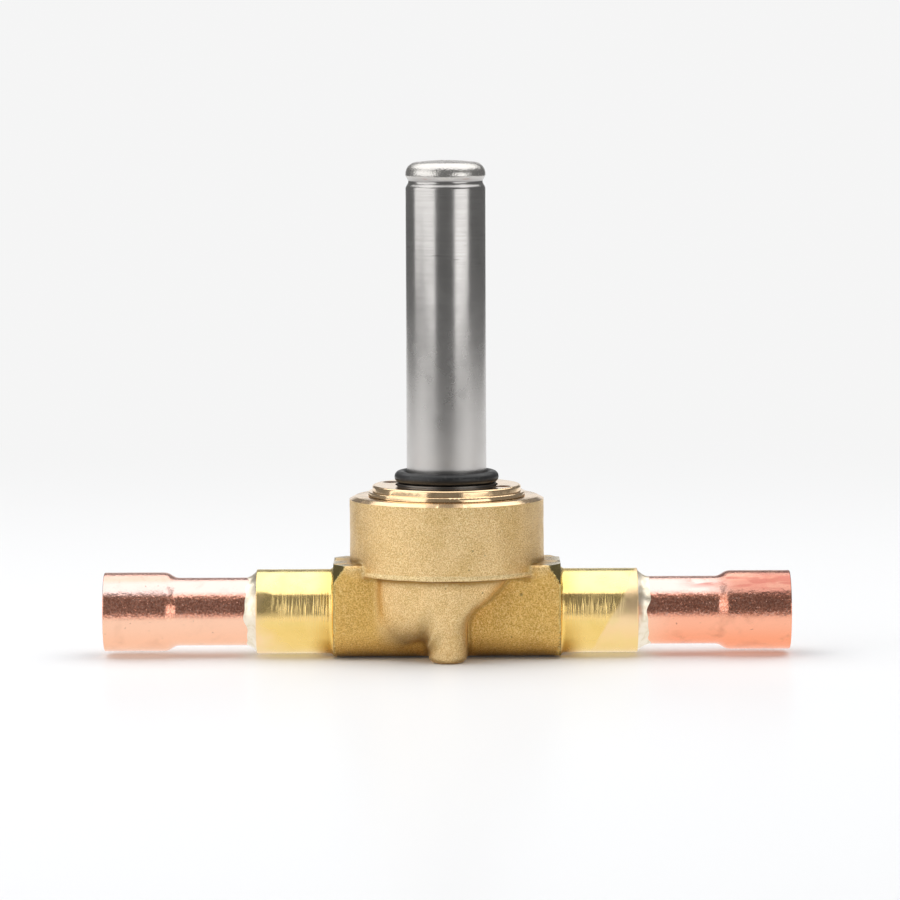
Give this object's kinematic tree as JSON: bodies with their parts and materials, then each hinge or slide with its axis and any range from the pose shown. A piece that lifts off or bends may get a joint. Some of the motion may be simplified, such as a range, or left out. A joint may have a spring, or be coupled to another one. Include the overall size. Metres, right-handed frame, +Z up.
{
  "type": "electronic expansion valve",
  "caption": "Forged brass refrigerant expansion valve with copper solder stubs, a round chamber closed by a ring nut, and a closed steel armature tube for a coil.",
  "frame": {"origin": "on the floor under the feet, midway between the ports and between front and back", "axes": "+X from the inlet to the outlet along the port line, +Z up the armature tube, -Y towards the viewer"},
  "size_m": [0.1164, 0.0332, 0.084],
  "materials": {
    "forged_brass": "grit-blasted forging with turned faces",
    "turned_brass": "turned, bright",
    "flange_steel": "turned stainless steel",
    "gasket_metal": "soft sheet",
    "tube_steel": "deep-drawn, satin",
    "black_rubber": "smooth, satin",
    "core_steel": "turned magnetic steel",
    "shading_copper": null,
    "retainer_brass": "turned",
    "white_polymer": "filled polymer",
    "spring_steel": "drawn wire",
    "copper": null,
    "silver_solder": "flowed brazing solder",
    "screen_steel": "perforated sheet"
  },
  "bodies": {
    "housing": {"valve_body": "forged_brass", "ring_nut": "turned_brass", "tube_flange": "flange_steel", "flange_gasket": "gasket_metal", "armature_tube": "tube_steel", "coil_o_ring": "black_rubber", "fixed_core": "core_steel", "shading_ring": "shading_copper", "closing_spring": "spring_steel", "orifice_seat": "turned_brass", "orifice_gasket": "gasket_metal", "inlet_stub": "copper", "outlet_stub": "copper", "inlet_braze": "silver_solder", "outlet_braze": "silver_solder", "strainer_ring": "retainer_brass", "strainer_screen": "screen_steel"},
    "plunger": {"plunger": "core_steel", "disc_retainer": "retainer_brass", "seat_disc": "white_polymer"}
  },
  "joints": [
    {"name": "plunger_lift", "type": "slide", "parent": "housing", "child": "plunger", "axis": [0, 0, 1], "range_m": [0, 0.0015], "stiffness_N_per_m": 300, "springref_m": -0.008, "deforming": ["closing_spring"]}
  ]
}
